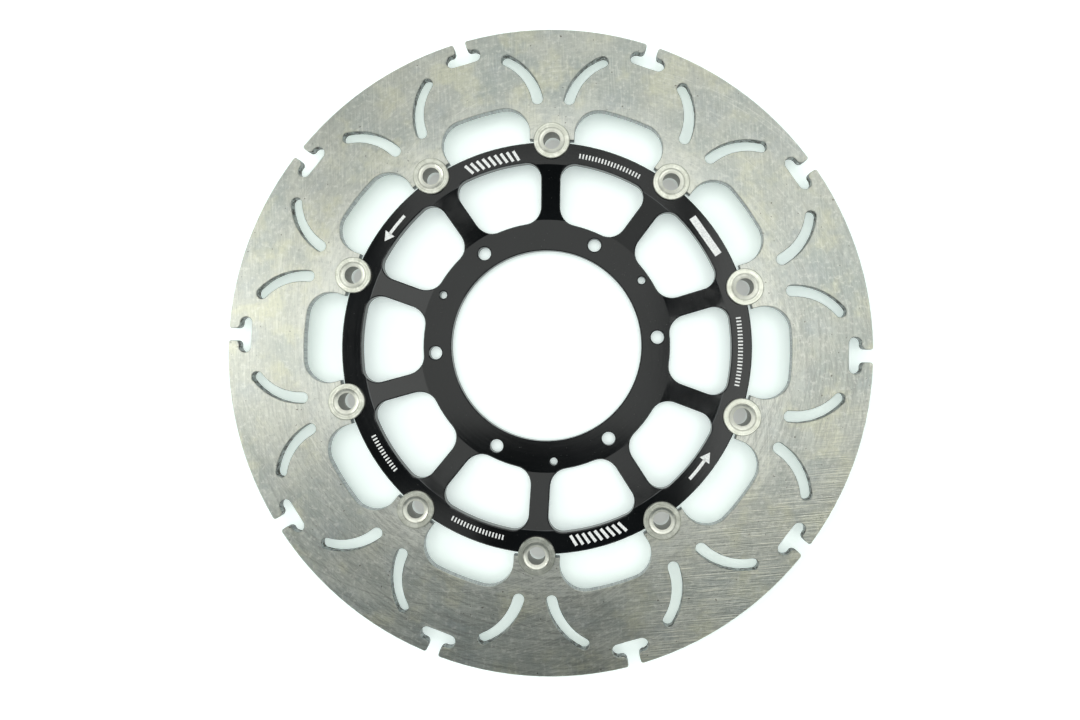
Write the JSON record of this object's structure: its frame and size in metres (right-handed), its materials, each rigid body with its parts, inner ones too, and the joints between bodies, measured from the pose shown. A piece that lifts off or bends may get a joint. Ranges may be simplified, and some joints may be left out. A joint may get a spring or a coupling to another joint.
{
  "type": "brake disc rotor",
  "caption": "Floating motorcycle front brake disc: flat steel rotor with curved slots and rim notches on a dished black carrier, joined by flanged bobbins.",
  "frame": {"origin": "centre of the hub's back face, which lies on the wheel hub; also the centre of the base of the part's box", "axes": "+Z along the disc's axis, from the wheel side to the outer side, where the bobbins' heads are; +Y through bobbin 1"},
  "size_m": [0.3098, 0.31, 0.016],
  "materials": {
    "rotor_steel": "ground",
    "carrier_black": "black anodised, turned",
    "bobbin_steel": "turned",
    "spring_steel": "blued",
    "washer_steel": "zinc plated",
    "mark_white": "laser marked",
    "circlip_steel": "phosphated"
  },
  "bodies": {
    "carrier": {"carrier": "carrier_black"},
    "rotor": {"rotor": "rotor_steel"},
    "bobbin_01": {"bobbin_01": "bobbin_steel", "wave_washer_01": "spring_steel", "flat_washer_01": "washer_steel", "circlip_01": "circlip_steel"},
    "bobbin_02": {"bobbin_02": "bobbin_steel", "wave_washer_02": "spring_steel", "flat_washer_02": "washer_steel", "circlip_02": "circlip_steel"},
    "bobbin_03": {"bobbin_03": "bobbin_steel", "wave_washer_03": "spring_steel", "flat_washer_03": "washer_steel", "circlip_03": "circlip_steel"},
    "bobbin_04": {"bobbin_04": "bobbin_steel", "wave_washer_04": "spring_steel", "flat_washer_04": "washer_steel", "circlip_04": "circlip_steel"},
    "bobbin_05": {"bobbin_05": "bobbin_steel", "wave_washer_05": "spring_steel", "flat_washer_05": "washer_steel", "circlip_05": "circlip_steel"},
    "bobbin_06": {"bobbin_06": "bobbin_steel", "wave_washer_06": "spring_steel", "flat_washer_06": "washer_steel", "circlip_06": "circlip_steel"},
    "bobbin_07": {"bobbin_07": "bobbin_steel", "wave_washer_07": "spring_steel", "flat_washer_07": "washer_steel", "circlip_07": "circlip_steel"},
    "bobbin_08": {"bobbin_08": "bobbin_steel", "wave_washer_08": "spring_steel", "flat_washer_08": "washer_steel", "circlip_08": "circlip_steel"},
    "bobbin_09": {"bobbin_09": "bobbin_steel", "wave_washer_09": "spring_steel", "flat_washer_09": "washer_steel", "circlip_09": "circlip_steel"},
    "bobbin_10": {"bobbin_10": "bobbin_steel", "wave_washer_10": "spring_steel", "flat_washer_10": "washer_steel", "circlip_10": "circlip_steel"}
  },
  "joints": [
    {"name": "rotor_float", "type": "slide", "parent": "carrier", "child": "rotor", "axis": [0, 0, 1], "range_m": [-0.0003, 0], "stiffness_N_per_m": 100000, "springref_m": 0.0005, "deforming": ["wave_washer_01", "wave_washer_02", "wave_washer_03", "wave_washer_04", "wave_washer_05", "wave_washer_06", "wave_washer_07", "wave_washer_08", "wave_washer_09", "wave_washer_10"]},
    {"name": "bobbin_01_turn", "type": "hinge", "parent": "carrier", "child": "bobbin_01", "pos_m": [0, 0.09935, 0.0145], "axis": [0, 0, 1], "continuous": true},
    {"name": "bobbin_02_turn", "type": "hinge", "parent": "carrier", "child": "bobbin_02", "pos_m": [-0.0584, 0.08038, 0.0145], "axis": [0, 0, 1], "continuous": true},
    {"name": "bobbin_03_turn", "type": "hinge", "parent": "carrier", "child": "bobbin_03", "pos_m": [-0.09449, 0.0307, 0.0145], "axis": [0, 0, 1], "continuous": true},
    {"name": "bobbin_04_turn", "type": "hinge", "parent": "carrier", "child": "bobbin_04", "pos_m": [-0.09449, -0.0307, 0.0145], "axis": [0, 0, 1], "continuous": true},
    {"name": "bobbin_05_turn", "type": "hinge", "parent": "carrier", "child": "bobbin_05", "pos_m": [-0.0584, -0.08038, 0.0145], "axis": [0, 0, 1], "continuous": true},
    {"name": "bobbin_06_turn", "type": "hinge", "parent": "carrier", "child": "bobbin_06", "pos_m": [0, -0.09935, 0.0145], "axis": [0, 0, 1], "continuous": true},
    {"name": "bobbin_07_turn", "type": "hinge", "parent": "carrier", "child": "bobbin_07", "pos_m": [0.0584, -0.08038, 0.0145], "axis": [0, 0, 1], "continuous": true},
    {"name": "bobbin_08_turn", "type": "hinge", "parent": "carrier", "child": "bobbin_08", "pos_m": [0.09449, -0.0307, 0.0145], "axis": [0, 0, 1], "continuous": true},
    {"name": "bobbin_09_turn", "type": "hinge", "parent": "carrier", "child": "bobbin_09", "pos_m": [0.09449, 0.0307, 0.0145], "axis": [0, 0, 1], "continuous": true},
    {"name": "bobbin_10_turn", "type": "hinge", "parent": "carrier", "child": "bobbin_10", "pos_m": [0.0584, 0.08038, 0.0145], "axis": [0, 0, 1], "continuous": true}
  ]
}
